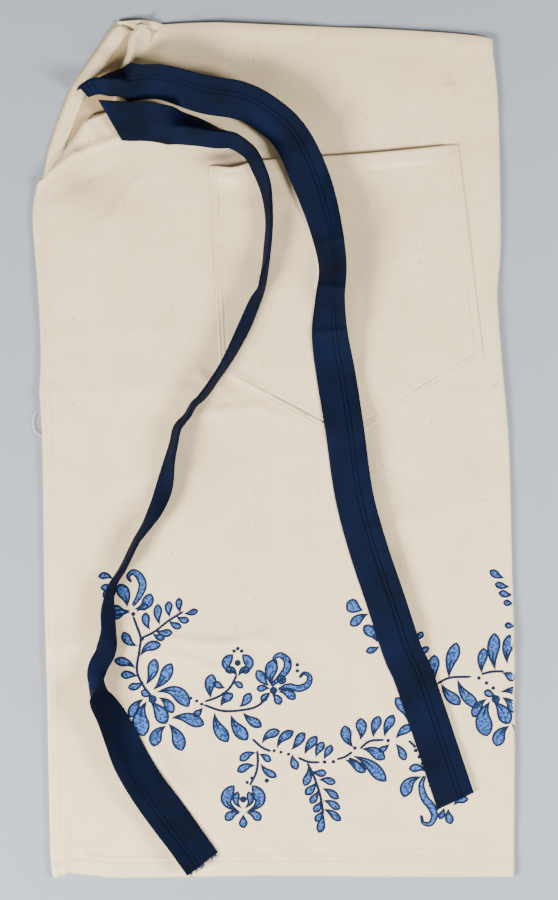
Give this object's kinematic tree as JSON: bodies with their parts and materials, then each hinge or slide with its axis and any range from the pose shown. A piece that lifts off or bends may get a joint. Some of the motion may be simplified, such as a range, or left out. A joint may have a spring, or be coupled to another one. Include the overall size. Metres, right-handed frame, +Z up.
{
  "type": "folded cotton apron with waist ties",
  "caption": "Cream cotton bib apron folded in half and laid flat, with a pointed patch pocket, a blue printed border and dark blue waist ties laid over it.",
  "frame": {"origin": "on the table under the middle of the folded apron", "axes": "+X towards the centre fold, +Y towards the turned-down bib, +Z up from the table"},
  "size_m": [0.3844, 0.6845, 0.0274],
  "materials": {
    "calico": "unbleached plain weave, right side",
    "calico_inside": "unbleached plain weave, wrong side",
    "cream_thread": "cotton sewing thread",
    "navy_tape": "plain weave cotton strip with turned edges",
    "navy_thread": "cotton sewing thread"
  },
  "bodies": {
    "apron": {"panel_back_half": "calico_inside", "panel_front_half": "calico", "panel_centre_fold": "calico", "side_hem_back": "calico_inside", "side_hem_front": "calico_inside", "bottom_hem_back": "calico_inside", "bottom_hem_front": "calico_inside", "armhole_casing_back": "calico", "armhole_casing_front": "calico", "bib_turn_back": "calico", "bib_turn_front": "calico", "pocket": "calico", "pocket_mouth_hem": "calico_inside", "pocket_seam_outer": "cream_thread", "pocket_seam_inner": "cream_thread", "pocket_mouth_stitch": "cream_thread", "pocket_tack_side": "cream_thread", "pocket_tack_fold": "cream_thread", "bottom_hem_stitch": "cream_thread", "side_hem_stitch": "cream_thread", "armhole_stitch_front": "cream_thread", "armhole_stitch_back": "cream_thread", "loose_thread": "cream_thread"},
    "tie_upper": {"upper_tie": "navy_tape", "upper_tie_seam": "navy_thread"},
    "tie_lower": {"lower_tie": "navy_tape", "lower_tie_seam": "navy_thread"}
  },
  "joints": [
    {"name": "upper_tie_lift", "type": "hinge", "parent": "apron", "child": "tie_upper", "pos_m": [-0.15715, 0.28804, 0.0116], "axis": [-0.4472, -0.8944, 0], "range_deg": [0, 120]},
    {"name": "lower_tie_lift", "type": "hinge", "parent": "apron", "child": "tie_lower", "pos_m": [-0.16067, 0.28098, 0.0116], "axis": [-0.4472, -0.8944, 0], "range_deg": [0, 120]}
  ]
}
